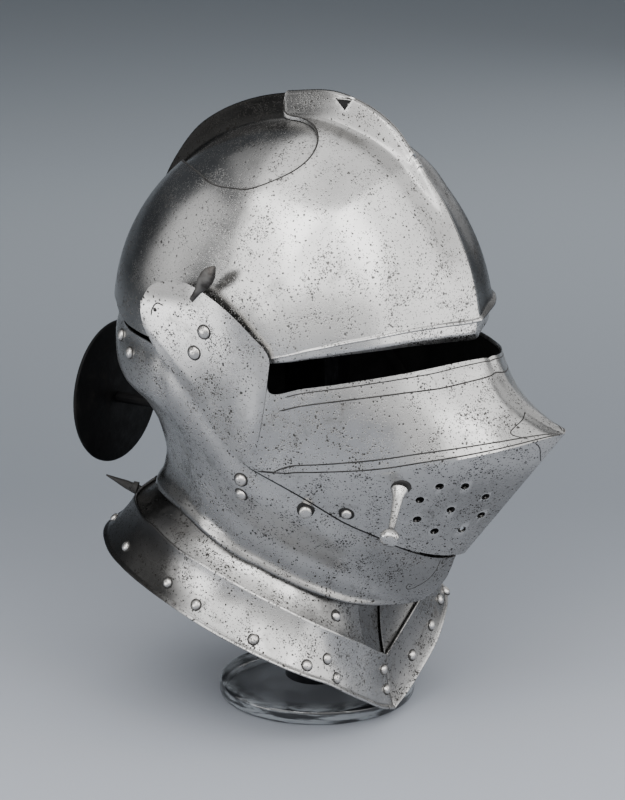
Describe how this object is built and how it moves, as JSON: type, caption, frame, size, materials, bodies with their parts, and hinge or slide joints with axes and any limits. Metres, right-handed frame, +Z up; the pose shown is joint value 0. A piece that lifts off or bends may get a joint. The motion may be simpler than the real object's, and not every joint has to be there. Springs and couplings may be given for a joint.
{
  "type": "armet on a display stand",
  "caption": "Closed steel armet with a combed skull, windowed brow reinforce, raised prow visor, hinged cheekpieces, collar lames and rear rondel, on a plain display stand.",
  "frame": {"origin": "on the underside of the stand's base, under the helmet's middle plane and between its ears", "axes": "+Z up, the face looks along -Y, the wearer's right is -X"},
  "size_m": [0.2172, 0.3134, 0.3803],
  "materials": {
    "polished_steel": "old polished steel, finely pitted",
    "brow_steel": "brighter polished steel, finely pitted",
    "dark_steel": "dark worn steel",
    "rivet_steel": "worn domed rivet heads",
    "rondel_black": "matte black",
    "clear_acrylic": "clear, rounded edge",
    "black_acrylic": "plain black"
  },
  "bodies": {
    "helmet": {"brow_reinforce": "brow_steel", "cheek_hinge_left": "dark_steel", "cheek_hinge_right": "dark_steel", "nape_strip": "dark_steel", "pivot_boss_left": "dark_steel", "pivot_boss_right": "dark_steel", "rondel": "rondel_black", "rondel_stem": "dark_steel", "skull": "polished_steel", "stand_base": "clear_acrylic", "stand_post": "black_acrylic"},
    "visor": {"arm_rivet_left_1": "rivet_steel", "arm_rivet_left_2": "rivet_steel", "arm_rivet_right_1": "rivet_steel", "arm_rivet_right_2": "rivet_steel", "catch_stud_left": "dark_steel", "catch_stud_right": "dark_steel", "hinge_pin_left": "dark_steel", "hinge_pin_right": "dark_steel", "lifting_peg": "dark_steel", "pivot_pin_left": "dark_steel", "pivot_pin_right": "dark_steel", "visor": "polished_steel"},
    "cheek_right": {"cheek_right": "polished_steel", "cheek_rivet_right_1": "rivet_steel", "cheek_rivet_right_2": "rivet_steel", "cheek_stud_right": "rivet_steel", "collar_lower_right": "polished_steel", "collar_rivet_right_1": "rivet_steel", "collar_rivet_right_10": "rivet_steel", "collar_rivet_right_2": "rivet_steel", "collar_rivet_right_3": "rivet_steel", "collar_rivet_right_4": "rivet_steel", "collar_rivet_right_5": "rivet_steel", "collar_rivet_right_6": "rivet_steel", "collar_rivet_right_7": "rivet_steel", "collar_rivet_right_8": "rivet_steel", "collar_rivet_right_9": "rivet_steel", "collar_rivet_upper_right": "rivet_steel", "collar_upper_right": "polished_steel", "hook_catch": "dark_steel", "nape_hook": "dark_steel"},
    "cheek_left": {"cheek_left": "polished_steel", "cheek_rivet_left_1": "rivet_steel", "cheek_rivet_left_2": "rivet_steel", "cheek_stud_left": "rivet_steel", "collar_lower_left": "polished_steel", "collar_rivet_left_1": "rivet_steel", "collar_rivet_left_2": "rivet_steel", "collar_rivet_left_3": "rivet_steel", "collar_rivet_left_4": "rivet_steel", "collar_rivet_left_5": "rivet_steel", "collar_rivet_left_6": "rivet_steel", "collar_rivet_left_7": "rivet_steel", "collar_rivet_left_8": "rivet_steel", "collar_rivet_upper_left": "rivet_steel", "collar_upper_left": "polished_steel"}
  },
  "joints": [
    {"name": "visor_pivot", "type": "hinge", "parent": "helmet", "child": "visor", "pos_m": [0, 0.044, 0.2649], "axis": [-1, 0, 0], "range_deg": [0, 60]},
    {"name": "cheek_right_hinge", "type": "hinge", "parent": "helmet", "child": "cheek_right", "pos_m": [-0.1045, 0, 0.2459], "axis": [0, 1, 0], "range_deg": [0, 80]},
    {"name": "cheek_left_hinge", "type": "hinge", "parent": "helmet", "child": "cheek_left", "pos_m": [0.1045, 0, 0.2459], "axis": [0, -1, 0], "range_deg": [0, 80]}
  ]
}
